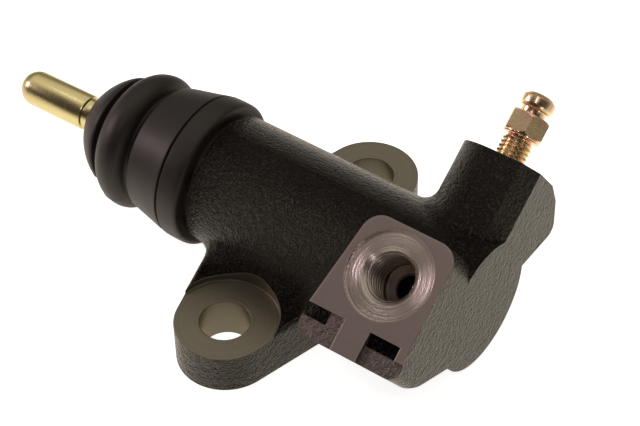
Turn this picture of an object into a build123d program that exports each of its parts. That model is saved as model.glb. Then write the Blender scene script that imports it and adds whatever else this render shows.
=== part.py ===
# Clutch slave cylinder: cast body on a two-bolt flange, dust boot, pushrod, sprung piston and bleeder screw.
# X runs along the barrel towards its closed end, Y through the two mounting holes, Z up from the mounting face.
import os
from math import cos, sin, radians
from build123d import *

os.makedirs("parts", exist_ok=True)

# Barrel and bore; the origin lies midway between the mounting holes
bore_r = 9.55
barrel_wall = 5.65
spigot_wall = 3.65
end_x = 48.4
shoulder_x = -20.1
spigot_len = 9.1
end_wall = 5.2
rim_chamfer = 0.5
mouth_chamfer = 0.7
bead_groove_w = 3.0
bead_groove_d = 1.0
bead_groove_back = 4.5
ring_groove_w = 1.3
ring_groove_d = 0.7
ring_groove_in = 2.2

# Mounting flange
barrel_lift = 4.8
mount_hole_r = 5.6
ear_wall = 5.6
ear_t = 10.0
spotface_depth = 1.6
spotface_gap = 0.9
ear_gap = 12.3
flange_mid_wall = 3.4
flange_edge_r = 1.2
web_fillet_r = 4.0

# Inlet port and the block around it, on axes tilted about the barrel: across along the face, out from it
port_tilt = 35.2
port_offset = -4.35
face_stand = 11.5
seat_r = 9.6
seat_depth = 0.6
port_minor_r = 5.2
port_depth = 13.0
port_chamfer = 1.05
port_drill_r = 1.6
port_cone_h = 2.8
face_margin = 1.9
block_top_margin = 1.05
block_low_margin = 9.25
block_low_thickness = 11.1
block_foot_width = 7.7
block_foot_depth = 23.9
block_flare = 3.7
block_corner_r = 4.5
block_end_r = 2.5
notch_margin = 2.35
notch_w = 2.9
notch_depth = 3.0
step_depth = 0.9
left_step_len = 15.6
left_notch_len = 19.2
right_step_len = 9.3
right_notch_len = 2.0

# Bleeder boss, the lobe below it and the hole for the screw
boss_r = 10.35
boss_end_gap = 0.1
boss_corner = 3.5
boss_stand = 14.6
boss_fillet_r = 3.5
lobe_reach = 12.9
lobe_drop = 0.6
lobe_corner_r = 2.5
lobe_top_chamfer = 3.4
bleed_hole_r = 3.65
bleed_hole_depth = 15.2
bleed_cone_h = 2.0
bleed_drill_r = 1.1

# Bleeder screw
run_gap = 0.05
screw_stand = 6.1
hex_flats = 8.1
hex_turn = 30.0
hex_h = 4.7
washer_h = 0.5
washer_r = 4.3
neck_r = 2.8
neck_h = 1.4
nipple_r = 3.75
nipple_h = 3.5
nipple_chamfer = 1.0
shank_r = 2.6
shank_len = 4.9
screw_passage_r = 0.9
cross_hole_r = 0.7

# Piston group
piston_in = 3.2
piston_len = 21.5
ball_in = 13.5
rod_r = 4.2
socket_wall = 4.2
seal_seat_r = 6.4
seal_seat_len = 4.2
head_gap = 0.95
head_len = 1.6
relief_depth = 0.6
relief_len = 4.0
land_len = 4.5
cup_gap = 0.02
cup_lip_len = 2.2
cup_lip_t = 1.1
seat_flange_t = 1.0
seat_rim = 0.6
seat_tube_wall = 0.9
seat_tube_len = 4.5

# Return spring and retaining ring
spring_wire_r = 0.65
spring_r = 6.9
spring_turns = 5.5
spring_gap = 0.3
ring_wire_r = 0.6
ring_gap_angle = 32.0

# Pushrod, lengths from the centre of its ball; it hangs a little at rest
rod_droop = 1.5
rod_len = 67.2
rod_neck_from = 47.3
rod_neck_len = 5.2
rod_neck_depth = 0.7
neck_bevel = 0.4

# Dust boot: the part before the valley follows the rod, the rest follows the barrel
boot_fit = 0.02
boot_lip_gap = 0.06
boot_wall = 1.75
boot_end_gap = 0.9
boot_end_r = 17.2
boot_bead_len = 5.5
boot_line_w = 0.5
boot_line_depth = 0.7
boot_fold_r = 16.1
boot_fold_len = 8.4
boot_flare_len = 8.6
boot_flare_rise = 1.8
boot_valley_w = 0.9
boot_valley_depth = 3.1
boot_groove_w = 1.3
boot_groove_depth = 4.4
boot_step_h = 1.7
boot_flange_w = 0.7
boot_flange_h = 1.2
boot_nose_len = 8.7
boot_lip_t = 1.2
boot_lip_w = 2.2

# Places that follow from the sizes above
barrel_r = bore_r + barrel_wall
spigot_r = bore_r + spigot_wall
axis_z = barrel_r + barrel_lift
mouth_x = shoulder_x - spigot_len
bore_end_x = end_x - end_wall
bead_groove_x = shoulder_x - bead_groove_back
ring_groove_x = mouth_x + ring_groove_in
ear_y = barrel_r + ear_gap
ear_r = mount_hole_r + ear_wall
face_n = barrel_r + face_stand
port_x = end_x - face_margin - seat_r
block_len_top = face_margin + 2 * seat_r + 0.1
block_len_low = block_len_top + block_flare
block_top_t = port_offset + seat_r + block_top_margin
block_low_t = port_offset - seat_r - block_low_margin
notch_t_top = port_offset - seat_r - notch_margin
notch_t_low = notch_t_top - notch_w
boss_x = end_x - boss_r - boss_end_gap
boss_top_t = barrel_r + boss_stand
lobe_y = barrel_r + lobe_reach
lobe_top_z = (boss_top_t - lobe_y * cos(radians(port_tilt))) / sin(radians(port_tilt))
bleed_hole_t = boss_top_t - bleed_hole_depth
rod_neck_r = rod_r - rod_neck_depth
boot_valley_x = mouth_x - boot_flare_len
boot_valley_r = boot_fold_r - boot_valley_depth
boot_flare_r = boot_valley_r + boot_flare_rise
boot_groove_r = boot_fold_r - boot_groove_depth
boot_fold_end_r = boot_groove_r + boot_step_h
boot_flange_r = boot_groove_r + boot_flange_h
piston_r = bore_r - run_gap
piston_x = mouth_x + piston_in
piston_end_x = piston_x + piston_len
ball_x = piston_x + ball_in

tilt = radians(port_tilt)
droop = radians(rod_droop)
across = (0, cos(tilt), sin(tilt))
outward = (0, -sin(tilt), cos(tilt))
port_centre = (port_x, port_offset * across[1], axis_z + port_offset * across[2])
barrel_line = Axis((0, 0, axis_z), (1, 0, 0))
rod_line = Axis((ball_x, 0, axis_z), (cos(droop), 0, sin(droop)))
end_plane = Plane(origin=(end_x, 0, axis_z), x_dir=across, z_dir=(1, 0, 0))
face_origin = (0, face_n * outward[1], axis_z + face_n * outward[2])
face_plane = Plane(origin=face_origin, x_dir=(1, 0, 0), z_dir=outward)
boss_plane = Plane(origin=(boss_x, 0, axis_z), x_dir=(1, 0, 0), z_dir=across)
screw_plane = Plane(origin=(boss_x, 0, axis_z), x_dir=(1, 0, 0), z_dir=outward)
axis_plane = Plane(origin=(0, 0, axis_z), x_dir=(1, 0, 0), z_dir=(0, -1, 0))
rod_plane = Plane(origin=(ball_x, 0, axis_z), x_dir=(cos(droop), 0, sin(droop)), z_dir=(0, -1, 0))
bore_plane = Plane(origin=(mouth_x, 0, axis_z), x_dir=(0, 1, 0), z_dir=(1, 0, 0))

# Inlet block: side profile across the barrel trimmed by its tapering plan
with BuildPart() as inlet_block:
    with BuildSketch(end_plane):
        with BuildLine():
            Polyline(
                (block_top_t, face_n),
                (block_low_t, face_n),
                (block_low_t, face_n - block_low_thickness),
                (block_low_t + block_foot_width, face_n - block_foot_depth),
                (-bore_r, -barrel_lift),
                (block_top_t, -barrel_lift),
                close=True,
            )
        make_face()
    extrude(amount=-block_len_low)
    with BuildSketch(face_plane) as block_plan:
        with BuildLine():
            Polyline(
                (end_x, block_top_t),
                (end_x - block_len_top, block_top_t),
                (end_x - block_len_low, notch_t_low),
                (end_x - block_len_low, block_low_t),
                (end_x, block_low_t),
                close=True,
            )
        make_face()
        for corner_x, corner_t, corner_r in (
            (end_x, block_top_t, block_corner_r),
            (end_x - block_len_top, block_top_t, block_corner_r),
            (end_x - block_len_low, block_low_t, notch_depth),
            (end_x, block_low_t, block_end_r),
        ):
            fillet(block_plan.vertices().sort_by_distance((corner_x, corner_t))[0], radius=corner_r)
    extrude(amount=-(face_n + barrel_lift), mode=Mode.INTERSECT)

# Cast body
with BuildPart() as cylinder_body:
    with BuildSketch(Plane.XY) as flange_plan:
        Circle(barrel_r + flange_mid_wall)
        with Locations((0, -ear_y), (0, ear_y)):
            Circle(ear_r)
        make_hull()
    extrude(amount=ear_t + spotface_depth)
    fillet(cylinder_body.faces().sort_by(Axis.Z)[-1].edges(), radius=flange_edge_r)
    with BuildSketch(Plane(origin=(shoulder_x, 0, axis_z), x_dir=(0, 1, 0), z_dir=(1, 0, 0))):
        Circle(barrel_r)
    extrude(amount=end_x - shoulder_x)
    chamfer(cylinder_body.faces().sort_by(Axis.X)[0].edges(), length=rim_chamfer)
    web_lines = cylinder_body.edges().filter_by(Axis.X).filter_by(
        lambda e: abs(e.center().Z - ear_t - spotface_depth) < 0.01
    )
    fillet(web_lines, radius=web_fillet_r)
    # Bleeder boss, round at the back and carried forward to the end face
    with BuildSketch(boss_plane) as boss_plan:
        Circle(boss_r)
        with Locations(((end_x - boss_x) / 2, 0)):
            Rectangle(end_x - boss_x, 2 * boss_r)
        chamfer(boss_plan.vertices().group_by(Axis.X)[-1], length=boss_corner)
    extrude(amount=boss_top_t)
    root_lines = cylinder_body.edges(Select.LAST).filter_by(
        lambda e: e.center().X < end_x - boss_corner and boss_plane.to_local_coords(e.center()).Z < barrel_r + 1
    )
    fillet(root_lines, radius=boss_fillet_r)
    # Lobe below the boss down to the mould parting level
    with BuildSketch(Plane(origin=(end_x, 0, axis_z), x_dir=(0, 1, 0), z_dir=(1, 0, 0))) as lobe_plan:
        with BuildLine():
            Polyline(
                (bleed_hole_r, -lobe_drop),
                (lobe_y, -lobe_drop),
                (lobe_y, lobe_top_z),
                (lobe_reach, lobe_reach),
                close=True,
            )
        make_face()
        fillet(lobe_plan.vertices().sort_by_distance((lobe_y, -lobe_drop))[0], radius=lobe_corner_r)
    extrude(amount=-(end_x - boss_x + boss_r * 0.8))
    # Trim what stands beyond the lobe's upright side and its bevelled top corner
    with BuildSketch(Plane(origin=(end_x + 1, 0, axis_z), x_dir=(0, 1, 0), z_dir=(1, 0, 0))):
        with BuildLine():
            Polyline(
                (lobe_y, -lobe_drop - 1),
                (lobe_y, lobe_top_z - lobe_top_chamfer),
                (
                    lobe_y - 2 * lobe_top_chamfer * sin(tilt),
                    lobe_top_z + lobe_top_chamfer * (1 + 2 * cos(tilt)),
                ),
                (lobe_y + 2 * boss_r, lobe_top_z + lobe_top_chamfer * (1 + 2 * cos(tilt))),
                (lobe_y + 2 * boss_r, -lobe_drop - 1),
                close=True,
            )
        make_face()
    extrude(amount=-(end_x - boss_x + 2 * boss_r), mode=Mode.SUBTRACT)
    add(inlet_block.part)
    # Spigot that carries the boot
    with BuildSketch(bore_plane):
        Circle(spigot_r)
    extrude(amount=spigot_len)
    # Bore, mouth chamfer, ring groove and boot groove as one turned cut
    with BuildSketch(axis_plane):
        with BuildLine():
            Polyline(
                (mouth_x - 1, 0),
                (mouth_x - 1, bore_r + mouth_chamfer),
                (mouth_x, bore_r + mouth_chamfer),
                (mouth_x + mouth_chamfer, bore_r),
                (ring_groove_x - ring_groove_w / 2, bore_r),
                (ring_groove_x - ring_groove_w / 2, bore_r + ring_groove_d),
                (ring_groove_x + ring_groove_w / 2, bore_r + ring_groove_d),
                (ring_groove_x + ring_groove_w / 2, bore_r),
                (bore_end_x - mouth_chamfer, bore_r),
                (bore_end_x, bore_r - mouth_chamfer),
                (bore_end_x, 0),
                close=True,
            )
        make_face()
        with Locations((bead_groove_x, spigot_r)):
            Rectangle(bead_groove_w, 2 * bead_groove_d)
    revolve(axis=barrel_line, mode=Mode.SUBTRACT)
    # Mounting holes with spotfaces
    with BuildSketch(Plane.XY.offset(ear_t)):
        with Locations((0, -ear_y), (0, ear_y)):
            Circle(ear_r + spotface_gap)
    extrude(amount=ear_t, mode=Mode.SUBTRACT)
    with BuildSketch(Plane.XY):
        with Locations((0, -ear_y), (0, ear_y)):
            Circle(mount_hole_r)
    extrude(amount=ear_t, mode=Mode.SUBTRACT)
    # Inlet port: seat, chamfer, tapped hole, cone and drilling into the bore
    with BuildSketch(Plane(origin=port_centre, x_dir=across, z_dir=(1, 0, 0))):
        with BuildLine():
            Polyline(
                (0, face_n + 1),
                (seat_r, face_n + 1),
                (seat_r, face_n - seat_depth),
                (port_minor_r + port_chamfer, face_n - seat_depth),
                (port_minor_r, face_n - seat_depth - port_chamfer),
                (port_minor_r, face_n - port_depth),
                (port_drill_r, face_n - port_depth - port_cone_h),
                (port_drill_r, bore_r / 2),
                (0, bore_r / 2),
                close=True,
            )
        make_face()
    revolve(axis=Axis(port_centre, outward), mode=Mode.SUBTRACT)
    # Bleeder hole: tapped part, cone seat and drilling into the bore
    with BuildSketch(screw_plane):
        with BuildLine():
            Polyline(
                (0, boss_top_t + 1),
                (bleed_hole_r, boss_top_t + 1),
                (bleed_hole_r, bleed_hole_t),
                (bleed_drill_r, bleed_hole_t - bleed_cone_h),
                (bleed_drill_r, bore_r / 2),
                (0, bore_r / 2),
                close=True,
            )
        make_face()
    revolve(axis=Axis((boss_x, 0, axis_z), across), mode=Mode.SUBTRACT)
    # Steps and locating notches low on the inlet face
    with BuildSketch(face_plane):
        with Locations((end_x - left_step_len - block_len_low / 2, notch_t_top - block_low_margin)):
            Rectangle(block_len_low, 2 * block_low_margin)
        with Locations((end_x - right_step_len / 2 + 1, notch_t_low - block_low_margin)):
            Rectangle(right_step_len + 2, 2 * block_low_margin)
    extrude(amount=-step_depth, mode=Mode.SUBTRACT)
    with BuildSketch(face_plane):
        with Locations((end_x - left_notch_len - notch_w, notch_t_top - notch_w / 2)):
            Rectangle(2 * notch_w, notch_w)
        with Locations((end_x - (right_step_len + right_notch_len) / 2, notch_t_top - notch_w / 2)):
            Rectangle(right_step_len - right_notch_len, notch_w)
    extrude(amount=-notch_depth, mode=Mode.SUBTRACT)
cylinder_body.part.label = "cylinder_body"
export_step(cylinder_body.part, "parts/cylinder_body.step")

# Dust boot: end bead and flare on the spigot, a sheared valley, then the fold and nose on the rod
lip_r = rod_neck_r + boot_lip_gap
boot_end_x = shoulder_x - boot_end_gap
line_x = boot_end_x - boot_bead_len
bead_in_r = spigot_r + boot_fit
groove_x0 = bead_groove_x - bead_groove_w / 2 + boot_fit
groove_x1 = bead_groove_x + bead_groove_w / 2 - boot_fit
valley_u = boot_valley_x - boot_valley_w - ball_x
fold_u = valley_u - boot_fold_len
flange_u = fold_u - boot_groove_w
nose_u = flange_u - boot_nose_len
crown_u = valley_u - 0.42 * boot_fold_len
with BuildPart() as dust_boot:
    with BuildSketch(axis_plane):
        with BuildLine():
            Polyline(
                (boot_valley_x, boot_valley_r),
                (boot_valley_x + boot_wall / 2, boot_flare_r),
                (line_x - boot_line_w, boot_end_r - 0.2),
                (line_x - boot_line_w, boot_end_r - boot_line_depth),
                (line_x, boot_end_r - boot_line_depth),
                (line_x, boot_end_r),
                (boot_end_x - 0.7, boot_end_r),
                (boot_end_x, boot_end_r - 0.7),
                (boot_end_x, bead_in_r),
                (groove_x1, bead_in_r),
                (groove_x1, bead_in_r - bead_groove_d),
                (groove_x0, bead_in_r - bead_groove_d),
                (groove_x0, bead_in_r),
                (mouth_x, bead_in_r),
                (mouth_x - boot_wall / 2, boot_end_r - 1.5 * boot_wall),
                (boot_valley_x + boot_wall, boot_flare_r - boot_wall),
                (boot_valley_x, boot_valley_r - boot_wall),
                close=True,
            )
        make_face()
    revolve(axis=barrel_line)
    with BuildSketch(Plane(origin=(boot_valley_x, 0, axis_z), z_dir=(1, 0, 0))):
        Circle(boot_valley_r)
    with BuildSketch(Plane(origin=rod_plane.from_local_coords((valley_u, 0)), z_dir=rod_line.direction)):
        Circle(boot_valley_r)
    loft()
    with BuildSketch(Plane(origin=(boot_valley_x, 0, axis_z), z_dir=(1, 0, 0))):
        Circle(boot_valley_r - boot_wall)
    with BuildSketch(Plane(origin=rod_plane.from_local_coords((valley_u, 0)), z_dir=rod_line.direction)):
        Circle(boot_valley_r - boot_wall)
    loft(mode=Mode.SUBTRACT)
    with BuildSketch(rod_plane):
        with BuildLine():
            Line((valley_u, boot_valley_r - boot_wall), (valley_u, boot_valley_r))
            Line((valley_u, boot_valley_r), (valley_u - 0.3, boot_valley_r + 0.3))
            TangentArc((crown_u, boot_fold_r), (valley_u - 0.3, boot_valley_r + 0.3), tangent=(1, 0))
            TangentArc((crown_u, boot_fold_r), (fold_u, boot_fold_end_r), tangent=(-1, 0))
            Polyline(
                (fold_u, boot_fold_end_r),
                (fold_u, boot_groove_r + 0.6),
                (fold_u - 0.4, boot_groove_r),
                (flange_u + 0.4, boot_groove_r),
                (flange_u, boot_groove_r + 0.6),
                (flange_u, boot_flange_r - 0.3),
                (flange_u - 0.3, boot_flange_r),
                (flange_u - boot_flange_w, boot_flange_r),
            )
            ThreePointArc(
                (flange_u - boot_flange_w, boot_flange_r),
                (flange_u - 0.62 * boot_nose_len, lip_r + 0.65 * (boot_flange_r - lip_r)),
                (nose_u, lip_r + boot_lip_t),
            )
            Polyline(
                (nose_u, lip_r + boot_lip_t),
                (nose_u, lip_r),
                (nose_u + boot_lip_w, lip_r),
                (nose_u + boot_lip_w, lip_r + boot_lip_t),
                (flange_u - 1.5, boot_groove_r - boot_wall),
                (fold_u, boot_groove_r - boot_wall),
                (fold_u + boot_wall, boot_fold_end_r - 0.4),
            )
            inner_crown = (crown_u, boot_fold_r - boot_wall)
            TangentArc(inner_crown, (fold_u + boot_wall, boot_fold_end_r - 0.4), tangent=(-1, 0))
            TangentArc(inner_crown, (valley_u, boot_valley_r - boot_wall), tangent=(1, 0))
        make_face()
    revolve(axis=rod_line)
dust_boot.part.label = "dust_boot"
export_step(dust_boot.part, "parts/dust_boot.step")

# Pushrod with a round tip, a boot neck and a ball end in the piston
neck_u0 = -rod_neck_from
neck_u1 = neck_u0 + rod_neck_len
with BuildPart() as pushrod:
    with BuildSketch(rod_plane):
        with BuildLine():
            Polyline(
                (rod_r - rod_len, 0),
                (rod_r - rod_len, rod_r),
                (neck_u0 - neck_bevel, rod_r),
                (neck_u0, rod_neck_r),
                (neck_u1, rod_neck_r),
                (neck_u1 + neck_bevel, rod_r),
                (0, rod_r),
                (0, 0),
                close=True,
            )
        make_face()
    revolve(axis=rod_line)
    with Locations(rod_plane.from_local_coords((rod_r - rod_len, 0)), rod_plane.from_local_coords((0, 0))):
        Sphere(rod_r)
pushrod.part.label = "pushrod"
export_step(pushrod.part, "parts/pushrod.step")

# Piston: skirt, relief, seal seat, head and the socket for the pushrod
head_x = piston_end_x - head_len
head_r = piston_r - head_gap
seal_x = head_x - seal_seat_len
socket_r = piston_r - socket_wall
with BuildPart() as piston:
    with BuildSketch(axis_plane):
        with BuildLine():
            Polyline(
                (piston_x, 0),
                (piston_x, piston_r - 0.5),
                (piston_x + 0.5, piston_r),
                (piston_x + land_len, piston_r),
                (piston_x + land_len, piston_r - relief_depth),
                (piston_x + land_len + relief_len, piston_r - relief_depth),
                (piston_x + land_len + relief_len, piston_r),
                (seal_x, piston_r),
                (seal_x, seal_seat_r),
                (head_x, seal_seat_r),
                (head_x, head_r),
                (piston_end_x, head_r),
                (piston_end_x, 0),
                close=True,
            )
        make_face()
    revolve(axis=barrel_line)
    with BuildSketch(axis_plane):
        with BuildLine():
            Polyline(
                (piston_x - 1, 0),
                (piston_x - 1, socket_r + 0.8),
                (piston_x, socket_r + 0.8),
                (piston_x + 0.8, socket_r),
                (ball_x, rod_r + run_gap),
                (ball_x, 0),
                close=True,
            )
        make_face()
    revolve(axis=barrel_line, mode=Mode.SUBTRACT)
    with Locations((ball_x, 0, axis_z)):
        Sphere(rod_r + run_gap, mode=Mode.SUBTRACT)
piston.part.label = "piston"
export_step(piston.part, "parts/piston.step")

# Pressure seal: solid heel and two lips that open towards the closed end
with BuildPart() as piston_cup:
    with BuildSketch(axis_plane):
        with BuildLine():
            Polyline(
                (seal_x + cup_gap, seal_seat_r + cup_gap),
                (seal_x + cup_gap, piston_r - 0.5),
                (seal_x + 0.8, piston_r - 0.2),
                (head_x - 0.8, piston_r),
                (head_x - 0.4, piston_r - cup_lip_t),
                (head_x - 0.4 - cup_lip_len, piston_r - cup_lip_t - 0.5),
                (head_x - 0.4 - cup_lip_len, seal_seat_r + 1.0),
                (head_x - 0.6, seal_seat_r + 0.8),
                (head_x - 0.3, seal_seat_r + cup_gap),
                close=True,
            )
        make_face()
    revolve(axis=barrel_line)
piston_cup.part.label = "piston_cup"
export_step(piston_cup.part, "parts/piston_cup.step")

# Spring seat: flange against the piston head and a short locating tube
seat_x = piston_end_x + cup_gap
seat_r1 = spring_r + spring_wire_r + seat_rim
seat_tube_r = spring_r - 2 * spring_wire_r
with BuildPart() as spring_seat:
    with BuildSketch(axis_plane):
        with BuildLine():
            Polyline(
                (seat_x, 0),
                (seat_x, seat_r1),
                (seat_x + seat_flange_t, seat_r1),
                (seat_x + seat_flange_t, seat_tube_r),
                (seat_x + seat_tube_len - 0.4, seat_tube_r),
                (seat_x + seat_tube_len, seat_tube_r - 0.4),
                (seat_x + seat_tube_len, seat_tube_r - seat_tube_wall),
                (seat_x + seat_flange_t, seat_tube_r - seat_tube_wall),
                (seat_x + seat_flange_t, 0),
                close=True,
            )
        make_face()
    revolve(axis=barrel_line)
spring_seat.part.label = "spring_seat"
export_step(spring_seat.part, "parts/spring_seat.step")

# Return spring between the seat and the closed end
spring_x0 = seat_x + seat_flange_t + spring_gap + spring_wire_r
spring_x1 = bore_end_x - spring_gap - spring_wire_r
with BuildPart() as return_spring:
    with BuildLine():
        coil = Helix(
            pitch=(spring_x1 - spring_x0) / spring_turns,
            height=spring_x1 - spring_x0,
            radius=spring_r,
            center=(spring_x0, 0, axis_z),
            direction=(1, 0, 0),
        )
    with BuildSketch(Plane(origin=coil @ 0, z_dir=coil % 0)):
        Circle(spring_wire_r)
    sweep(path=coil, is_frenet=True)
return_spring.part.label = "return_spring"
export_step(return_spring.part, "parts/return_spring.step")

# Retaining ring: open wire ring in its groove near the mouth
ring_r = bore_r + ring_groove_d - ring_wire_r - run_gap / 2
with BuildPart() as retaining_ring:
    with BuildSketch(axis_plane):
        with Locations((ring_groove_x, ring_r)):
            Circle(ring_wire_r)
    revolve(axis=barrel_line, revolution_arc=360 - ring_gap_angle)
retaining_ring.part.label = "retaining_ring"
export_step(retaining_ring.part, "parts/retaining_ring.step")

# Bleeder screw with hexagon, hose nipple, axial passage and cross hole
thread_top_t = boss_top_t + screw_stand
hex_t0 = thread_top_t + washer_h
hex_t1 = hex_t0 + hex_h
neck_t1 = hex_t1 + neck_h
top_t = neck_t1 + nipple_h
shank_t = bleed_hole_t + shank_len
cross_hole_t = bleed_hole_t + shank_len / 2
screw_r = bleed_hole_r - run_gap
with BuildPart() as bleeder_screw:
    with BuildSketch(screw_plane):
        with BuildLine():
            Polyline(
                (0, bleed_hole_t - 0.6),
                (shank_r - 0.9, bleed_hole_t - 0.6),
                (shank_r, bleed_hole_t + 0.9),
                (shank_r, shank_t),
                (screw_r, shank_t + 0.6),
                (screw_r, thread_top_t - 0.8),
                (screw_r - 0.7, thread_top_t - 0.3),
                (screw_r - 0.7, thread_top_t),
                (washer_r - 0.2, thread_top_t),
                (washer_r, thread_top_t + 0.2),
                (washer_r, hex_t0),
                (neck_r, hex_t0),
                (neck_r, neck_t1),
                (nipple_r - 0.5, neck_t1),
                (nipple_r, neck_t1 + 0.6),
                (nipple_r, top_t - nipple_chamfer),
                (nipple_r - nipple_chamfer, top_t),
                (0, top_t),
                close=True,
            )
        make_face()
    revolve(axis=Axis((boss_x, 0, axis_z), across))
    with BuildSketch(boss_plane.offset(hex_t0)):
        RegularPolygon(hex_flats / 2, 6, major_radius=False, rotation=hex_turn)
    extrude(amount=hex_h)
    with BuildSketch(boss_plane.offset(cross_hole_t)):
        Circle(screw_passage_r)
    extrude(amount=top_t - cross_hole_t + 1, mode=Mode.SUBTRACT)
    cross_hole_centre = screw_plane.from_local_coords((0, cross_hole_t))
    with Locations(Plane(origin=cross_hole_centre, x_dir=across, z_dir=(1, 0, 0))):
        Cylinder(cross_hole_r, 4 * shank_r, mode=Mode.SUBTRACT)
bleeder_screw.part.label = "bleeder_screw"
export_step(bleeder_screw.part, "parts/bleeder_screw.step")
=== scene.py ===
# Clutch slave cylinder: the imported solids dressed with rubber, plating, cast paint and machined faces.
# Lengths are in millimetres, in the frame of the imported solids, and turn into metres in putMesh.
import math
import bmesh
import bpy
import numpy as np
from mathutils import Matrix


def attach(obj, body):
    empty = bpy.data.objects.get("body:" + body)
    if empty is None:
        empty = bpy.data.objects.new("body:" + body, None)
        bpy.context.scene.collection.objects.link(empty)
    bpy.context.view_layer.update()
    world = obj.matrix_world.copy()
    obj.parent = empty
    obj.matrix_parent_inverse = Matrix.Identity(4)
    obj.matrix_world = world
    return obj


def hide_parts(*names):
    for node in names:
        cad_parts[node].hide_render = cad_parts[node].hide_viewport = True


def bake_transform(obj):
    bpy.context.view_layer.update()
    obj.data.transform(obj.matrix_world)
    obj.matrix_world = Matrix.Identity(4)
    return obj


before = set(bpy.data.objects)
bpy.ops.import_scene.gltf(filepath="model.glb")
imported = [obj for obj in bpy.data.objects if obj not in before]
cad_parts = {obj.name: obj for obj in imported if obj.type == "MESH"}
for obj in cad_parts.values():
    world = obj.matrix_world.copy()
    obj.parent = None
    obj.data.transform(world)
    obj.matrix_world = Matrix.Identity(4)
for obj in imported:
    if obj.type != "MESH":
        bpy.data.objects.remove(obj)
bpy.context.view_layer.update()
mm = 0.001

layout = {
    "axisZ": 20.0,        # barrel axis above the mounting face
    "tilt": 35.2,         # inlet face leans this far from level, degrees
    "portX": 36.9,
    "portOffset": -4.35,
    "faceN": 26.7,
    "bossX": 37.95,
    "earY": 27.5,
    "earTop": 10.0,
    "shoulderX": -20.1,
    "ballX": -12.5,
    "droop": 1.5,         # the rod hangs this far at rest, degrees
}
tilt = math.radians(layout["tilt"])
# out of the inlet's face, and up its slope, which is the bleeder screw's direction as well
outward = np.array([0.0, -math.sin(tilt), math.cos(tilt)])
across = np.array([0.0, math.cos(tilt), math.sin(tilt)])
barrelAxis = np.array([0.0, 0.0, layout["axisZ"]])
ball = np.array([layout["ballX"], 0.0, layout["axisZ"]])
droop = math.radians(layout["droop"])
rodLine = np.array([math.cos(droop), 0.0, math.sin(droop)])


# Mesh helpers

def putMesh(name, points, faces, sharp=32.0):
    # points in millimetres, n x 3; faces as lists of indices
    mesh = bpy.data.meshes.new(name)
    mesh.from_pydata((np.asarray(points) * mm).tolist(), [], faces)
    mesh.validate()
    mesh.shade_smooth()
    mesh.set_sharp_from_angle(angle=math.radians(sharp))
    piece = bpy.data.objects.new(name, mesh)
    bpy.context.scene.collection.objects.link(piece)
    return piece


def circle(count):
    # angles of one full turn, in radians
    return np.linspace(0, 2 * np.pi, count, endpoint=False)


def gridFaces(rows, cols, wrapRows=False):
    # quads between neighbouring rows of a grid whose columns close on themselves
    i = np.arange(rows if wrapRows else rows - 1)[:, None]
    j = np.arange(cols)[None, :]
    below, above = i * cols, ((i + 1) % rows) * cols
    right = (j + 1) % cols
    quads = np.stack([below + j, below + right, above + right, above + j], axis=-1)
    return quads.reshape(-1, 4).tolist()


def lathe(name, along, radius, origin, axis, side, count, sharp=32.0, closed=False, bend=None):
    # point = origin + along * axis + radius * (cos a * side + sin a * third); radius may vary with a
    angle = circle(count)
    axis, side = np.asarray(axis, float), np.asarray(side, float)
    third = np.cross(axis, side)
    along = np.asarray(along, float)
    radius = np.asarray(radius, float)
    radius = np.broadcast_to(radius[:, None] if radius.ndim == 1 else radius, (len(along), count))
    ring = np.cos(angle)[:, None] * side + np.sin(angle)[:, None] * third
    points = origin + along[:, None, None] * axis + radius[:, :, None] * ring[None]
    points = points.reshape(-1, 3)
    faces = gridFaces(len(along), count, closed)
    if not closed:
        points = np.vstack([points, [origin + along[0] * axis], [origin + along[-1] * axis]])
        last = (len(along) - 1) * count
        j = np.arange(count)
        after = (j + 1) % count
        foot, head = np.full(count, len(points) - 2), np.full(count, len(points) - 1)
        faces += np.stack([foot, after, j], axis=-1).tolist()
        faces += np.stack([head, last + j, last + after], axis=-1).tolist()
    return putMesh(name, bend(points) if bend else points, faces, sharp)


def smoothLine(points, steps):
    # Catmull-Rom curve through the points
    points = np.asarray(points, float)
    ends = np.vstack([2 * points[0] - points[1], points, 2 * points[-1] - points[-2]])
    u = np.linspace(0, 1, steps, endpoint=False)[None, :, None]
    p0, p1, p2, p3 = (ends[k:len(ends) - 3 + k][:, None] for k in range(4))
    line = 0.5 * (2 * p1 + (p2 - p0) * u + (2 * p0 - 5 * p1 + 4 * p2 - p3) * u ** 2
                  + (3 * p1 - p0 - 3 * p2 + p3) * u ** 3)
    return np.vstack([line.reshape(-1, 2), points[-1]])


# Shader helpers

class Wire:
    # a shader socket that takes part in Python expressions
    def __init__(self, paint, socket):
        self.paint, self.socket = paint, socket

    def math(self, operation, *others):
        return self.paint.add("ShaderNodeMath", {"operation": operation}, dict(enumerate([self, *others])))

    def __add__(self, other):
        return self.math("ADD", other)

    def __sub__(self, other):
        return self.math("SUBTRACT", other)

    def __mul__(self, other):
        return self.math("MULTIPLY", other)

    def __pow__(self, other):
        return self.math("POWER", other)

    def __rsub__(self, other):
        return self.paint.add("ShaderNodeMath", {"operation": "SUBTRACT"}, {0: other, 1: self})

    __radd__ = __add__
    __rmul__ = __mul__


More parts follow.
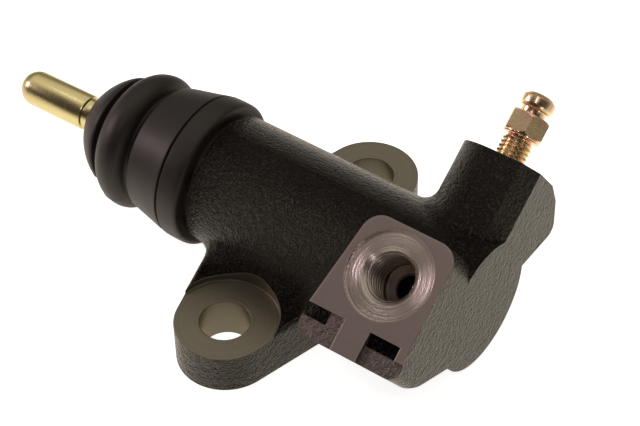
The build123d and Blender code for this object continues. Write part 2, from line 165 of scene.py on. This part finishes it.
class Tree:
    # a shader tree with one method that adds any node to it
    def __init__(self, tree):
        self.tree = tree

    def split(self, vector):
        parts = self.add("ShaderNodeSeparateXYZ", values={0: vector}, out=None)
        return [Wire(self, parts.outputs[k]) for k in range(3)]

    def add(self, kind, settings=None, values=None, out=0):
        node = self.tree.nodes.new(kind)
        for key, value in (settings or {}).items():
            setattr(node, key, value)
        for key, value in (values or {}).items():
            if isinstance(value, Wire):
                self.tree.links.new(value.socket, node.inputs[key])
            else:
                node.inputs[key].default_value = value
        return node if out is None else Wire(self, node.outputs[out])

    def mix(self, factor, a, b):
        values = {"Factor": factor, 6: a, 7: b}
        return self.add("ShaderNodeMix", {"data_type": "RGBA", "clamp_factor": True}, values, out=2)

    def blend(self, factor, a, b):
        values = {"Factor": factor, 2: a, 3: b}
        return self.add("ShaderNodeMix", {"data_type": "FLOAT", "clamp_factor": True}, values, out=0)

    def noise(self, scale, detail, rough):
        values = {"Vector": self.place, "Scale": scale, "Detail": detail, "Roughness": rough}
        return self.add("ShaderNodeTexNoise", values=values)

    def rings(self, radius, perMm, rough=0.6):
        # uneven bands that depend on one length only
        values = {"W": radius * perMm, "Scale": 1.0, "Detail": 3.0, "Roughness": rough}
        return self.add("ShaderNodeTexNoise", {"noise_dimensions": "1D"}, values)

    def step(self, value, low, high):
        # 0 below low, 1 above high, straight between
        values = {"Value": value, "From Min": low, "From Max": high}
        return self.add("ShaderNodeMapRange", {"clamp": True}, values)

    def over(self, value, limit, band=0.06):
        # 0 up to the limit, 1 from the width of the band beyond it
        return self.step(value, limit, limit + band)

    def within(self, value, limit, band=0.06):
        # 0 from the limit on, 1 from the width of the band before it
        return 1 - self.over(value, limit - band, band)

    def bump(self, height, distance, strength, normal=None):
        values = {"Height": height, "Distance": distance, "Strength": strength}
        if normal is not None:
            values["Normal"] = normal
        return self.add("ShaderNodeBump", values=values)


class Paint(Tree):
    # one material, with the object's place in millimetres as x, y and z
    def __init__(self, name, **fixed):
        self.material = bpy.data.materials.new(name)
        self.material.use_nodes = True
        super().__init__(self.material.node_tree)
        self.shader = self.tree.nodes["Principled BSDF"]
        for socket, value in fixed.items():
            self.shader.inputs[socket.replace("_", " ")].default_value = value
        self.place = self.add("ShaderNodeTexCoord", out="Object")
        self.x, self.y, self.z = (part * 1000.0 for part in self.split(self.place))

    def feed(self, **links):
        for socket, wire in links.items():
            self.tree.links.new(wire.socket, self.shader.inputs[socket.replace("_", " ")])


def wear(piece, paint, body, slotName, *nodes):
    piece.data.materials.clear()
    piece.data.materials.append(paint.material)
    if body:
        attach(piece, body)
    if nodes:
        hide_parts(*nodes)
    return piece


print("stage: materials")

castLook = {
    "paint": (0.0014, 0.0012, 0.0010, 1.0),
    "paintWorn": (0.008, 0.007, 0.0055, 1.0),
    "speck": (0.085, 0.076, 0.064, 1.0),
    "faceMetal": (0.35, 0.295, 0.265, 1.0),
    "seatMetal": (0.50, 0.44, 0.39, 1.0),
    "earMetal": (0.215, 0.195, 0.15, 1.0),
    "rimMetal": (0.22, 0.19, 0.15, 1.0),
    "slotRust": (0.09, 0.065, 0.07, 1.0),
    "seatRadius": 9.68,       # washer seat around the inlet
    "seatFloor": 12.0,        # the inlet's bare bore ends here, counted out from the barrel's axis
    "earRadius": 12.23,
    "holeRadius": 5.71,
    "topDrop": 0.12,          # what lies less than this below a machined top belongs to it
    "footDrop": 0.97,         # and less than this below the inlet's face to its foot, a step lower
    "footTop": -16.25,        # the foot's upper end, up the slope of the face
    "blockEnd": 48.3,
    "slotFrom": 39.0,         # the rusty notch: from here on, above slotFoot, less than slotDrop deep
    "slotFoot": -19.3,
    "slotDrop": 3.1,
    "rimWidth": 0.5,
    "grain": 1850.0,
    "grainHeight": 0.0042,    # heights and radii of the shader's nodes are in metres
    "ringHeight": 0.00004,
    "seatRings": 11.0,        # bands to the millimetre
    "earRings": 2.4,
    "edgeRadius": 0.00045,
    "edgeSamples": 4,
    "paintRough": (0.15, 0.28),
    "bareRough": (0.34, 0.46),
    "seatRough": (0.20, 0.34),
    "bareShine": 0.92,        # how metallic bare iron and worn specks are
    "speckShine": 0.7,
}


def darker(colour, share):
    return tuple(c * share for c in colour[:3]) + (1.0,)


class CastAreas:
    # masks from 0 to 1 over the casting; n counts from the barrel's axis out of the inlet's face,
    # and t up the slope of that face
    def __init__(self, p):
        s = castLook
        height = p.z - layout["axisZ"]
        n = p.y * float(outward[1]) + height * float(outward[2])
        t = p.y * float(across[1]) + height * float(across[2])
        dx, dt = p.x - layout["portX"], t - layout["portOffset"]
        self.portR = (dx * dx + dt * dt) ** 0.5
        earY = p.y.math("ABSOLUTE") - layout["earY"]
        self.earR = (p.x * p.x + earY * earY) ** 0.5
        facet = p.split(p.add("ShaderNodeNewGeometry", out="True Normal"))
        uphill = facet[1] * float(across[1]) + facet[2] * float(across[2])
        depth = layout["faceN"] - n
        inFoot = p.within(t, s["footTop"], 0.1) * p.within(p.x, s["blockEnd"], 0.1)
        inFoot = inFoot * p.over(uphill, -0.5, 0.1)
        onStep = p.within(depth, s["footDrop"], 0.04) * inFoot
        onTop = p.within(depth, s["topDrop"])
        self.floor = onStep * (1 - onTop)
        self.face = onTop.math("MAXIMUM", onStep)
        inSlot = p.over(p.x, s["slotFrom"], 0.2) * p.over(t, s["slotFoot"], 0.1) * inFoot
        self.slot = inSlot * p.within(depth, s["slotDrop"], 0.05) * (1 - onStep)
        self.seat = p.within(self.portR, s["seatRadius"]) * p.over(n, s["seatFloor"], 0.5)
        onEar = p.within(self.earR, s["earRadius"], 0.08) * p.over(p.z, layout["earTop"] - s["topDrop"])
        inHole = p.within(self.earR, s["holeRadius"])
        under = p.within(p.z, s["topDrop"], 0.07)
        self.ear = (onEar + inHole + under).math("MINIMUM", 1.0)
        self.rim = p.within(p.x, layout["shoulderX"] + s["rimWidth"], 0.08)
        self.bare = (self.face + self.seat + self.ear + self.rim).math("MINIMUM", 1.0)


def castPaint():
    s = castLook
    p = Paint("castBody", Roughness=0.4, Specular_IOR_Level=0.4, Specular_Tint=(1.0, 0.92, 0.78, 1.0))
    on = CastAreas(p)
    seatRings = p.rings(on.portR, s["seatRings"])
    earRings = p.rings(on.earR, s["earRings"])
    cloud = p.noise(150.0, 4.0, 0.6)
    fine = p.noise(s["grain"], 2.0, 0.7)
    coarse = p.noise(s["grain"] * 0.45, 2.0, 0.5)
    speck = p.step(fine, 0.54, 0.7) * (1 - on.bare)
    tone = p.mix(p.step(fine, 0.52, 0.68), s["paint"], s["paintWorn"])
    tone = p.mix(speck, tone, s["speck"])
    tone = p.mix(on.face, tone, p.mix(cloud, s["faceMetal"], darker(s["faceMetal"], 0.6)))
    tone = p.mix(on.floor, tone, p.mix(fine, darker(s["faceMetal"], 0.45), darker(s["faceMetal"], 0.2)))
    tone = p.mix(on.slot * p.step(fine, 0.45, 0.6), tone, s["slotRust"])
    tone = p.mix(on.seat, tone, p.mix(seatRings, s["seatMetal"], darker(s["seatMetal"], 0.8)))
    tone = p.mix(on.ear, tone, p.mix(earRings, s["earMetal"], darker(s["earMetal"], 0.6)))
    tone = p.mix(on.rim, tone, s["rimMetal"])
    rough = p.blend(on.bare, p.blend(fine, *s["paintRough"]), p.blend(cloud, *s["bareRough"]))
    rough = p.blend(on.seat, rough, p.blend(seatRings, *s["seatRough"]))
    edge = p.add("ShaderNodeBevel", {"samples": s["edgeSamples"]}, {"Radius": s["edgeRadius"]})
    castHeight = (fine * 0.7 + coarse * 0.6) * (1 - on.bare + on.floor * 0.12)
    rounded = p.bump(castHeight, s["grainHeight"], 1.0, edge)
    turned = p.bump(seatRings * on.seat * 0.8 + earRings * on.ear * 0.35, s["ringHeight"], 1.0, rounded)
    p.feed(Base_Color=tone, Roughness=rough, Normal=turned,
           Metallic=on.bare * s["bareShine"] + speck * s["speckShine"])
    return p


rubberLook = {
    "dark": (0.0035, 0.003, 0.003, 1.0),
    "light": (0.014, 0.012, 0.0115, 1.0),
    "cloud": 120.0,
    "grain": 2600.0,
    "grainHeight": 0.00004,
    "rough": (0.42, 0.56),
}


def rubberPaint():
    s = rubberLook
    p = Paint("bootRubber", Roughness=0.5, Specular_IOR_Level=0.38, Specular_Tint=(1.0, 0.93, 0.86, 1.0))
    cloud = p.noise(s["cloud"], 4.0, 0.6)
    fine = p.noise(s["grain"], 3.0, 0.6)
    p.feed(Base_Color=p.mix(cloud, s["dark"], s["light"]), Roughness=p.blend(cloud, *s["rough"]),
           Normal=p.bump(fine, s["grainHeight"], 0.5))
    return p


platingLook = {
    "rodBase": (0.72, 0.63, 0.34, 1.0),
    "rodShade": (0.54, 0.46, 0.21, 1.0),
    "neckPaintedPinkLightAndShade": (0.52, 0.30, 0.24, 1.0),
    "neckFrom": -47.4,        # painted pink lamp light and shade on the rod's neck start here
    "rodRings": 5.0,
    "rodRough": (0.22, 0.36),
    "screwBase": (0.84, 0.66, 0.40, 1.0),
    "screwPink": (0.80, 0.48, 0.38, 1.0),
    "screwGrain": 2400.0,
    "screwRough": (0.20, 0.34),
    "height": 0.00003,
}


def rodPaint():
    s = platingLook
    p = Paint("rodZinc", Metallic=1.0, Roughness=0.25)
    turning = p.rings(p.x, s["rodRings"], 0.65)
    cloud = p.noise(160.0, 3.0, 0.6)
    tone = p.mix(turning * 0.5 + cloud * 0.4, s["rodBase"], s["rodShade"])
    # from neckFrom on, the neck's tone is painted pink lamp light and shade
    p.feed(Base_Color=p.mix(p.over(p.x, s["neckFrom"], 0.3), tone, s["neckPaintedPinkLightAndShade"]),
           Roughness=p.blend(turning, *s["rodRough"]), Normal=p.bump(turning, s["height"], 0.4))
    return p


def screwPaint():
    s = platingLook
    p = Paint("screwZinc", Metallic=1.0, Roughness=0.28)
    cloud = p.noise(420.0, 3.0, 0.55)
    fine = p.noise(s["screwGrain"], 3.0, 0.6)
    p.feed(Base_Color=p.mix(p.step(cloud, 0.45, 0.7), s["screwBase"], s["screwPink"]),
           Roughness=p.blend(fine, *s["screwRough"]), Normal=p.bump(fine, s["height"], 0.4))
    return p


def plainMetal(name, colour, low, high):
    p = Paint(name, Metallic=1.0)
    cloud = p.noise(900.0, 3.0, 0.6)
    p.feed(Base_Color=p.mix(cloud, colour, darker(colour, 0.75)),
           Roughness=p.blend(cloud, low, high), Normal=p.bump(cloud, platingLook["height"], 0.4))
    return p


castCoat, rubberCoat, rodCoat, screwCoat = castPaint(), rubberPaint(), rodPaint(), screwPaint()
steelCoat = plainMetal("plainSteel", (0.52, 0.52, 0.53, 1.0), 0.28, 0.42)
alloyCoat = plainMetal("pistonAlloy", (0.68, 0.69, 0.70, 1.0), 0.25, 0.40)

print("stage: cast body")

flatWithin = 0.4      # neighbours that differ by less than this, in degrees, are one flat region


def flatAreas(mesh, normals, areas):
    # for each face, the area of the flat region it belongs to
    loopEdge = np.empty(len(mesh.loops), dtype=np.int32)
    mesh.loops.foreach_get("edge_index", loopEdge)
    order = np.argsort(loopEdge, kind="stable")
    same = loopEdge[order][1:] == loopEdge[order][:-1]
    a, b = order[:-1][same] // 3, order[1:][same] // 3
    level = (normals[a] * normals[b]).sum(1) > math.cos(math.radians(flatWithin))
    a, b = a[level], b[level]
    label = np.arange(len(areas))
    while True:
        low = np.minimum(label[a], label[b])
        fresh = label.copy()
        np.minimum.at(fresh, a, low)
        np.minimum.at(fresh, b, low)
        fresh = fresh[fresh]
        if (fresh == label).all():
            return np.bincount(label, areas, len(areas))[label]
        label = fresh


def steadyNormals(mesh, sharp):
    # corner normals led by the largest flat region around, so that fillets do not shade flat faces
    count = len(mesh.polygons)
    normals, areas = np.empty(count * 3, dtype=np.float32), np.empty(count, dtype=np.float32)
    corners = np.empty(len(mesh.loops), dtype=np.int32)
    mesh.polygons.foreach_get("normal", normals)
    mesh.polygons.foreach_get("area", areas)
    mesh.loops.foreach_get("vertex_index", corners)
    normals = normals.reshape(-1, 3).astype(float)
    region = flatAreas(mesh, normals, areas.astype(float))
    order = np.argsort(corners, kind="stable")
    first = np.searchsorted(corners[order], np.arange(len(mesh.vertices)))
    valence = np.bincount(corners, minlength=len(mesh.vertices))
    own = normals[np.arange(len(corners)) // 3]
    total = np.zeros_like(own)
    # adds up, for all corners at once, the k-th face around each corner's vertex
    for k in range(valence.max()):
        here = k < valence[corners]
        face = order[np.minimum(first[corners] + k, len(corners) - 1)] // 3
        near = (own * normals[face]).sum(1) > math.cos(math.radians(sharp))
        total += np.where((here & near)[:, None], normals[face] * region[face][:, None], 0.0)
    total /= np.linalg.norm(total, axis=1)[:, None]
    mesh.normals_split_custom_set(total.tolist())


def joinedCopy(node, name, sharp):
    # the node's own triangles with shared corners, smooth except over sharp edges
    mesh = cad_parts[node].data.copy()
    work = bmesh.new()
    work.from_mesh(mesh)
    bmesh.ops.remove_doubles(work, verts=work.verts, dist=1e-6)
    work.to_mesh(mesh)
    work.free()
    mesh.name = name
    mesh.shade_smooth()
    steadyNormals(mesh, sharp)
    piece = bpy.data.objects.new(name, mesh)
    bpy.context.scene.collection.objects.link(piece)
    return piece


bodySharp = 24.0      # edges of the casting that turn by more than this, in degrees, stay crisp
castShell = joinedCopy("cylinder_body", "castBody", bodySharp)
wear(castShell, castCoat, "housing", "body_casting", "cylinder_body")


def threadPhase(line, pitch, count):
    # height / pitch - angle / turn, for the rows and columns of a thread
    return line[:, None] / pitch - circle(count)[None] / (2 * np.pi)


threadSpec = {
    "minor": 4.88, "wall": 5.185, "pitch": 1.5, "from": 14.6, "to": 25.3, "fade": 0.5,
    "rows": 170, "count": 96, "sharp": 50.0,
}


def portThread():
    # inside thread: radius = wall - ridge, the ridge a rounded wave of the thread's phase
    s = threadSpec
    along = np.linspace(s["from"], s["to"], s["rows"])
    wave = 0.5 + 0.5 * np.cos(2 * np.pi * threadPhase(along, s["pitch"], s["count"]))
    fade = np.clip(np.minimum(along - s["from"], s["to"] - along) / s["fade"], 0, 1)[:, None]
    inner = s["wall"] - (s["wall"] - s["minor"]) * wave ** 0.8 * fade
    radius = np.vstack([inner, np.full((2, s["count"]), s["wall"])])
    line = np.concatenate([along, [s["to"], s["from"]]])
    origin = barrelAxis + np.array([layout["portX"], 0, 0]) + across * layout["portOffset"]
    piece = lathe("inletThread", line[::-1], radius[::-1], origin, outward, (1, 0, 0), s["count"],
                  sharp=s["sharp"], closed=True)
    wear(piece, castCoat, "housing", "body_casting")


portThread()

print("stage: boot")

bootSpec = {
    "nose": [(-57.1, 3.62), (-57.3, 4.0), (-57.15, 4.75), (-56.4, 6.2), (-55.2, 7.95), (-53.8, 9.6),
             (-52.2, 11.1), (-50.7, 12.2), (-49.7, 12.75), (-49.1, 12.9), (-48.75, 12.8), (-48.5, 12.3),
             (-48.25, 11.85), (-47.9, 11.7)],
    "main": [(-47.9, 11.7), (-47.45, 11.85), (-47.2, 12.5), (-47.08, 13.1), (-46.85, 13.7), (-46.2, 14.5),
             (-45.0, 15.39), (-43.8, 15.88), (-42.3, 16.1), (-41.0, 15.86), (-40.0, 15.22), (-39.35, 14.3),
             (-39.0, 13.5), (-38.6, 13.02), (-38.1, 12.95), (-37.6, 13.3), (-37.35, 14.1), (-36.9, 14.7),
             (-36.0, 15.0), (-32.0, 15.9), (-29.3, 16.5), (-27.6, 16.9), (-27.15, 16.95), (-26.95, 16.6),
             (-26.75, 16.45), (-26.55, 16.65), (-26.4, 17.1), (-26.0, 17.2), (-24.0, 17.25), (-22.4, 17.2),
             (-21.6, 17.0), (-21.15, 16.5), (-21.0, 15.6), (-21.0, 14.2), (-21.1, 13.25)],
    "insideMain": [(-29.2, 13.25), (-30.1, 14.4), (-33.0, 13.9), (-36.1, 13.1), (-37.8, 11.3),
                   (-38.7, 11.3), (-39.9, 13.3), (-42.2, 14.3), (-44.4, 13.8), (-45.6, 12.7),
                   (-46.6, 10.6), (-47.9, 10.0)],
    "insideNose": [(-47.9, 10.0), (-50.0, 9.7), (-52.3, 7.4), (-54.5, 5.0), (-54.9, 3.62)],
    "hangTo": -38.75,         # the fold hangs with the rod up to here, and less and less over hangFade
    "hangFade": 1.0,
    "seamAngle": 205.0,       # mould line: where, in degrees, how high and how wide
    "seamHeight": 0.12,
    "seamWidth": 1.3,
    "count": 160,
    "sharp": 40.0,
}


def hang(points):
    # turns what lies outward of the boot's valley about the ball, down by the rod's droop
    away = points - ball
    turn = droop * (1 - np.clip((points[:, 0] - bootSpec["hangTo"]) / bootSpec["hangFade"], 0, 1))
    points = points.copy()
    points[:, 0] = ball[0] + away[:, 0] * np.cos(turn) - away[:, 2] * np.sin(turn)
    points[:, 2] = ball[2] + away[:, 0] * np.sin(turn) + away[:, 2] * np.cos(turn)
    return points


def bootWall(name, outer, inner):
    # closed ring section turned about the barrel axis, with a faint mould line raised along one side
    s = bootSpec
    outerLine = smoothLine(outer, 6)
    innerLine = smoothLine(inner, 4)
    along = np.concatenate([outerLine[:, 0], innerLine[:, 0]])[::-1]
    radius = np.concatenate([outerLine[:, 1], innerLine[:, 1]])[::-1, None]
    angle = np.linspace(0, 360, s["count"], endpoint=False)
    away = (angle[None] - s["seamAngle"] + 180) % 360 - 180
    seam = s["seamHeight"] * np.exp(-(away / s["seamWidth"]) ** 2)
    isOuter = (np.arange(len(along)) >= len(innerLine))[:, None]
    radius = radius + seam * isOuter
    return lathe(name, along, radius, barrelAxis, (1, 0, 0), (0, 1, 0), s["count"],
                 sharp=s["sharp"], closed=True, bend=hang)


bootFold = bootWall("bootFold", bootSpec["main"], bootSpec["insideMain"])
wear(bootFold, rubberCoat, None, "boot_rubber", "dust_boot")
bootNose = bootWall("bootNose", bootSpec["nose"], bootSpec["insideNose"])
wear(bootNose, rubberCoat, None, "boot_rubber")
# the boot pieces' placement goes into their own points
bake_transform(bootFold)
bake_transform(bootNose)

print("stage: pushrod")

rodSpec = {
    "length": 67.2, "radius": 4.2, "neckFrom": -47.3, "neckTo": -42.1, "neck": 3.5,
    "tipFlat": 0.03,          # the dome starts this far off its pole, radians
    "domeRows": 18, "count": 96,
}


def pushrodSolid():
    # dome, straight shank, boot neck and ball end as one turned profile, lengths from the ball's centre
    s = rodSpec
    r, neck = s["radius"], s["neck"]
    dome = np.linspace(s["tipFlat"], np.pi / 2, s["domeRows"])
    tipLine = np.stack([r * (1 - np.cos(dome)) - s["length"], r * np.sin(dome)], axis=-1)
    middle = [(s["neckFrom"] - 0.6, r), (s["neckFrom"] - 0.25, r - 0.15), (s["neckFrom"], neck + 0.1),
              (s["neckFrom"] + 0.2, neck), (s["neckTo"] - 0.2, neck), (s["neckTo"] + 0.3, r - 0.1),
              (s["neckTo"] + 0.6, r)]
    ballLine = tipLine[::-1] * (-1, 1) - (s["length"] - r, 0)
    line = np.vstack([tipLine, middle, ballLine])
    piece = lathe("pushrodTurned", line[:, 0], line[:, 1], ball, rodLine, (0, 1, 0), s["count"])
    wear(piece, rodCoat, "rod", "rod_plating", "pushrod")


pushrodSolid()

print("stage: bleeder screw")

screwSpec = {
    "tip": [(14.1, 1.6), (15.5, 2.6), (19.4, 2.6), (19.7, 2.75)],
    "thread": (20.1, 35.2), "radius": 3.6, "pitch": 1.0, "depth": 0.48, "threadFade": 0.7, "rowsPerTurn": 12,
    "washerTop": 36.4, "hexTo": 41.1, "halfFlats": 4.15, "washer": 4.3, "chamfer": 1.1,
    "neck": 2.8, "neckTop": 42.5, "nipple": 3.75, "top": 46.0, "bore": 0.9,
    "turn": 35.0,             # where the hexagon's flats face, degrees
    "count": 144, "sharp": 28.0,
}


def screwThread():
    # rows (t, radii) with radius = crest - depth * a clipped saw of the thread's phase
    s = screwSpec
    start, stop = s["thread"]
    root = s["radius"] - s["depth"]
    line = np.arange(start, stop, s["pitch"] / s["rowsPerTurn"])
    saw = np.abs((threadPhase(line, s["pitch"], s["count"]) % 1.0) * 2 - 1)
    ridge = s["radius"] - s["depth"] * np.clip(1.25 * (1 - saw) - 0.12, 0, 1)
    fade = np.clip((stop - line) / s["threadFade"], 0, 1)[:, None]
    return list(zip(line, ridge * fade + root * (1 - fade)))


def screwHexagon():
    # rows (t, radii) with radius = min(hexagon, the chamfer's cones at both ends)
    s = screwSpec
    low, high = s["washerTop"], s["hexTo"]
    sixth = np.pi / 3
    angle = circle(s["count"]) + math.radians(s["turn"])
    hexagon = s["halfFlats"] / np.cos((angle + sixth / 2) % sixth - sixth / 2)
    climb = np.concatenate([np.linspace(low, low + 0.7, 6), np.linspace(high - 0.9, high, 8)])
    under = s["washer"] + (climb - low) * s["chamfer"]
    over = s["washer"] - 0.1 + (high - climb) * s["chamfer"]
    return [(t, np.minimum(hexagon, cap)) for t, cap in zip(climb, np.minimum(under, over))]


def bleederSolid():
    # tip, thread, collar, hexagon, neck, nipple and bore as rows along the screw
    s = screwSpec
    foot, low, hexTo, neckTop, top = s["thread"][1], s["washerTop"], s["hexTo"], s["neckTop"], s["top"]
    neck, nipple, bore = s["neck"], s["nipple"], s["bore"]
    collar = [(foot + 0.1, neck + 0.1), (foot + 0.55, neck), (foot + 0.68, neck + 0.2), (foot + 0.72, 4.0),
              (foot + 0.85, s["washer"] - 0.1), (low - 0.1, s["washer"] - 0.02)]
    neckLine = [(hexTo + 0.02, 3.4), (hexTo + 0.06, 2.75), (hexTo + 0.3, neck), (neckTop - 0.2, neck)]
    nippleLine = [(neckTop, neck + 0.1), (neckTop + 0.03, 3.1), (neckTop + 0.25, 3.45), (neckTop + 0.6, 3.62),
                  (neckTop + 1.0, nipple), (top - 1.1, nipple), (top - 0.8, 3.45), (top - 0.3, 2.85),
                  (top - 0.1, 2.55), (top, 2.2)]
    boreLine = [(top, bore + 0.25), (top - 0.15, bore + 0.05), (top - 0.4, bore), (low, bore),
                (low - 0.1, 0.3)]
    rows = s["tip"] + screwThread() + collar + screwHexagon() + neckLine + nippleLine + boreLine
    along = np.array([t for t, radii in rows])
    radius = np.array([np.broadcast_to(radii, s["count"]) for t, radii in rows])
    origin = barrelAxis + np.array([layout["bossX"], 0, 0])
    piece = lathe("bleederTurned", along, radius, origin, across, (1, 0, 0), s["count"], sharp=s["sharp"])
    wear(piece, screwCoat, "bleeder", "screw_plating", "bleeder_screw")


bleederSolid()

print("stage: inner pieces")

springSpec = {
    "radius": 6.9, "wire": 0.65, "turns": 5.5, "from": -2.53, "to": 42.25,
    "around": 14, "perTurn": 40, "sharp": 60.0,
}


def springSolid():
    # wire circle, by angle b, carried along a helix: centre = (x, R cos a, R sin a), x rising steadily with a
    s = springSpec
    a = np.linspace(0, 2 * np.pi * s["turns"], int(s["turns"] * s["perTurn"]) + 1)
    x = s["from"] + (s["to"] - s["from"]) * a / a[-1]
    centre = np.stack([x, s["radius"] * np.cos(a), s["radius"] * np.sin(a) + layout["axisZ"]], axis=-1)
    tangent = np.gradient(centre, axis=0)
    tangent /= np.linalg.norm(tangent, axis=1)[:, None]
    outer = np.stack([np.zeros_like(a), np.cos(a), np.sin(a)], axis=-1)
    third = np.cross(tangent, outer)
    b = circle(s["around"])
    ring = np.cos(b)[None, :, None] * outer[:, None] + np.sin(b)[None, :, None] * third[:, None]
    points = centre[:, None] + s["wire"] * ring
    faces = gridFaces(len(a), s["around"])
    firstEnd = list(range(s["around"]))
    faces += [firstEnd[::-1], [(len(a) - 1) * s["around"] + k for k in firstEnd]]
    return putMesh("springWire", points.reshape(-1, 3), faces, s["sharp"])


springWire = wear(springSolid(), steelCoat, None, "inner_steel", "return_spring")
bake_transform(springWire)
innerCoats = {
    "piston": alloyCoat, "piston_cup": rubberCoat, "spring_seat": steelCoat, "retaining_ring": steelCoat,
}
for node, coat in innerCoats.items():
    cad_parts[node].data.materials.clear()
    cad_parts[node].data.materials.append(coat.material)

print("stage: studio")


def lamp(start, away, size, power, colour):
    # a round lamp in the direction start from the object, away metres off
    return {"from": start, "away": away, "size": size, "power": power, "colour": colour}


studio = {
    "focalPixels": 2171.2,
    "pictureWidth": 640,
    "sensor": 36.0,
    "eye": (204.3, -268.15, 359.49),
    "yaw": -36.5,
    "pitch": 45.19,
    "roll": -1.22,
    "floor": 0.85,
    "floorHalf": 3000.0,
    "floorLevel": -0.3,
    "floorNear": 80.0,        # painted pool of light: the floor's painted glow and painted reflection fade to floorFar from here to floorEnd, for all but the camera
    "floorEnd": 170.0,
    "floorSeen": (0.88, 0.88, 0.87, 1.0),
    "floorPaintedReflection": (0.88, 0.82, 0.68, 1.0),
    "floorPaintedGlow": (0.84, 0.745, 0.575, 1.0),
    "floorFar": (0.14, 0.125, 0.10, 1.0),
    "above": (0.86, 0.80, 0.70, 1.0),
    "aside": (0.20, 0.18, 0.15, 1.0),
    "front": (0.02, 0.018, 0.015, 1.0),
    "photographer": (0.2, -0.98),
    "lampAim": (0, 0, 0.02),
    "lamps": {
        "keyLamp": lamp((-0.42, 0.02, 0.91), 0.7, 0.05, 0.08, (1.0, 0.93, 0.90)),
        "frontLamp": lamp((0.08, -0.53, 0.84), 0.75, 0.04, 0.4, (1.0, 0.78, 0.92)),
        "leftLamp": lamp((-0.874, -0.348, 0.34), 0.8, 0.10, 2.0, (1.0, 0.80, 0.88)),
        "sideLamp": lamp((0.83, -0.54, 0.16), 0.6, 0.04, 0.2, (1.0, 0.9, 0.85)),
    },
}


def putAt(item, right, up, back, place):
    pose = Matrix((right, up, back)).transposed().to_4x4()
    pose.translation = place
    item.matrix_world = pose
    bpy.context.scene.collection.objects.link(item)


def addCamera():
    # forward from yaw and pitch, right level, then the roll turns right and up together
    yaw, pitch, roll = (math.radians(studio[k]) for k in ("yaw", "pitch", "roll"))
    forward = np.array([math.sin(yaw) * math.cos(pitch), math.cos(yaw) * math.cos(pitch), -math.sin(pitch)])
    levelRight = np.array([math.cos(yaw), -math.sin(yaw), 0.0])
    right = levelRight * math.cos(roll) + np.cross(levelRight, forward) * math.sin(roll)
    up = np.cross(right, forward)
    data = bpy.data.cameras.new("photoCamera")
    data.sensor_width = studio["sensor"]
    data.lens = studio["focalPixels"] / studio["pictureWidth"] * studio["sensor"]
    data.clip_start, data.clip_end = 0.01, 20.0
    camera = bpy.data.objects.new("photoCamera", data)
    putAt(camera, right, up, -forward, np.array(studio["eye"]) * mm)
    bpy.context.scene.camera = camera


def addFloor():
    half, height = studio["floorHalf"], studio["floorLevel"]
    corners = [(-half, -half, height), (half, -half, height), (half, half, height), (-half, half, height)]
    piece = putMesh("studioFloor", corners, [[0, 1, 2, 3]])
    p = Paint("floorWhite", Roughness=0.9, Specular_IOR_Level=0.0, Emission_Strength=1.0,
              Base_Color=(studio["floor"],) * 3 + (1.0,))
    # white for the camera; metal and glass see a pale painted reflection, and other rays a warm painted glow
    # that lights the object, both only within a pool around the object
    rays = p.add("ShaderNodeLightPath", out=None)
    camera, glossy, through = (Wire(p, rays.outputs[kind])
                               for kind in ("Is Camera Ray", "Is Glossy Ray", "Is Transmission Ray"))
    away = (p.x * p.x + p.y * p.y) ** 0.5
    # painted reflection for metal and glass and painted glow for other rays, near the object; beyond
    # floorNear both fade to the dim far tone
    near = p.mix(glossy.math("MAXIMUM", through), studio["floorPaintedGlow"], studio["floorPaintedReflection"])
    lit = p.mix(p.step(away, studio["floorNear"], studio["floorEnd"]), near, studio["floorFar"])
    p.feed(Emission_Color=p.mix(camera, lit, studio["floorSeen"]))
    piece.data.materials.append(p.material)


def addLights():
    # each lamp faces the middle of the object
    for name, spec in studio["lamps"].items():
        data = bpy.data.lights.new(name, "AREA")
        data.shape, data.size = "DISK", spec["size"]
        data.energy, data.color = spec["power"], spec["colour"]
        start = np.array(spec["from"])
        aim = -start / np.linalg.norm(start)
        side = np.cross(aim, (0, 1, 0))
        side /= np.linalg.norm(side)
        light = bpy.data.objects.new(name, data)
        putAt(light, side, np.cross(side, aim), -aim, start * spec["away"] + studio["lampAim"])


def addSky():
    # dim walls low down, warm white overhead, dark towards the photographer
    world = bpy.data.worlds.new("studioWorld")
    world.use_nodes = True
    sky = Tree(world.node_tree)
    x, y, z = sky.split(sky.add("ShaderNodeTexCoord", out="Generated"))
    towards = x * studio["photographer"][0] + y * studio["photographer"][1]
    tone = sky.mix(sky.step(z, 0.38, 0.66), studio["aside"], studio["above"])
    dark = sky.step(towards, 0.05, 0.35) * (1 - sky.step(z, 0.85, 0.98))
    tone = sky.mix(dark, tone, studio["front"])
    sky.tree.links.new(tone.socket, sky.tree.nodes["Background"].inputs["Color"])
    bpy.context.scene.world = world


addCamera()
addFloor()
addLights()
addSky()
bpy.context.scene.view_settings.view_transform = "Standard"

print("stage: done")
